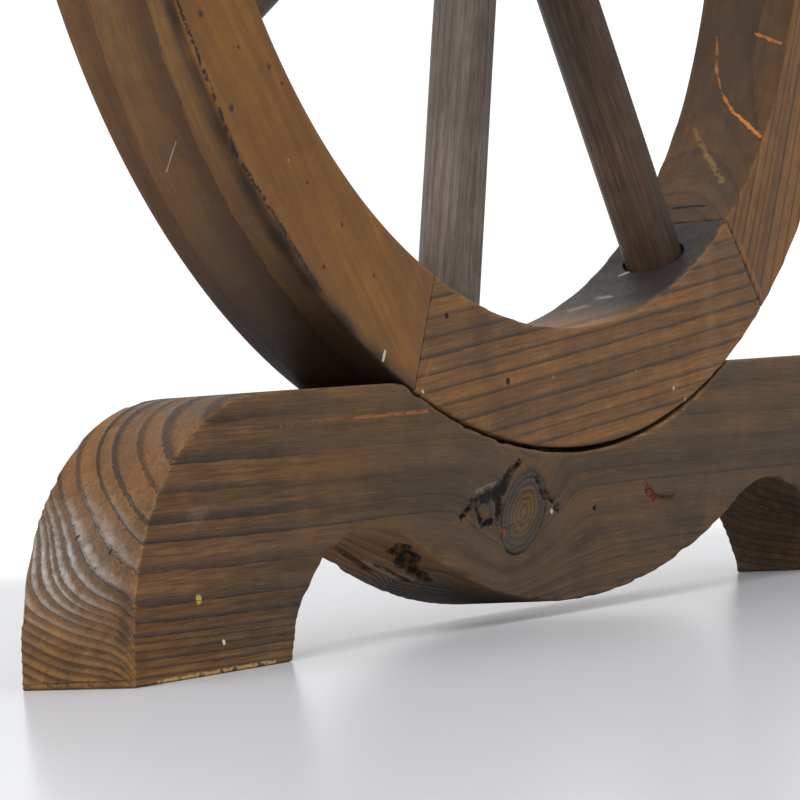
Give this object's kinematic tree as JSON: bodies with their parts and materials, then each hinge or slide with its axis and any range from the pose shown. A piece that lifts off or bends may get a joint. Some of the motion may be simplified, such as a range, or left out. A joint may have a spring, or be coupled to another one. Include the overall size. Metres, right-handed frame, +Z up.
{
  "type": "decorative wooden wheel",
  "caption": "Decorative wooden spoked wheel that turns on a short hollow axle and sits in a saddle sawn into a one-piece arched cradle foot.",
  "frame": {"origin": "on the floor, midway between the two ends of the cradle foot and in its middle plane", "axes": "+Z up, +Y from the wheel's front face to its back face along its axle, +X along the cradle foot"},
  "size_m": [0.644, 0.1348, 0.668],
  "materials": {
    "foot_timber": "charred, wire-brushed and stained softwood, dull with a slight wax sheen",
    "felloe_timber": "stained and waxed softwood, brushed, satin",
    "spoke_dowel": "dark grey-brown stained dowel, satin",
    "hub_timber": "dark stained turned softwood, satin",
    "joint_dowel": "plain dry beech, unfinished",
    "bush_bronze": "turned bearing bronze, dulled",
    "axle_steel": "drawn steel tube, brushed",
    "zinc_steel": "zinc-plated pressed steel",
    "collar_steel": "turned steel, lightly oiled",
    "black_steel": "black-oxide steel screws"
  },
  "bodies": {
    "stand": {"cradle_foot": "foot_timber"},
    "axle": {"axle_tube": "axle_steel", "washer_front": "zinc_steel", "washer_back": "zinc_steel", "collar_front": "collar_steel", "collar_back": "collar_steel", "set_screws": "black_steel"},
    "wheel": {"felloe_1": "felloe_timber", "felloe_2": "felloe_timber", "felloe_3": "felloe_timber", "felloe_4": "felloe_timber", "felloe_5": "felloe_timber", "felloe_6": "felloe_timber", "spoke_1": "spoke_dowel", "spoke_2": "spoke_dowel", "spoke_3": "spoke_dowel", "spoke_4": "spoke_dowel", "spoke_5": "spoke_dowel", "spoke_6": "spoke_dowel", "spoke_7": "spoke_dowel", "spoke_8": "spoke_dowel", "hub": "hub_timber", "felloe_dowels": "joint_dowel", "bush_front": "bush_bronze", "bush_back": "bush_bronze"}
  },
  "joints": [
    {"name": "wheel_lift", "type": "slide", "parent": "stand", "child": "axle", "axis": [0, 0, 1], "range_m": [0, 0.12]},
    {"name": "wheel_spin", "type": "hinge", "parent": "axle", "child": "wheel", "pos_m": [0, 0, 0.368], "axis": [0, 1, 0], "continuous": true}
  ]
}
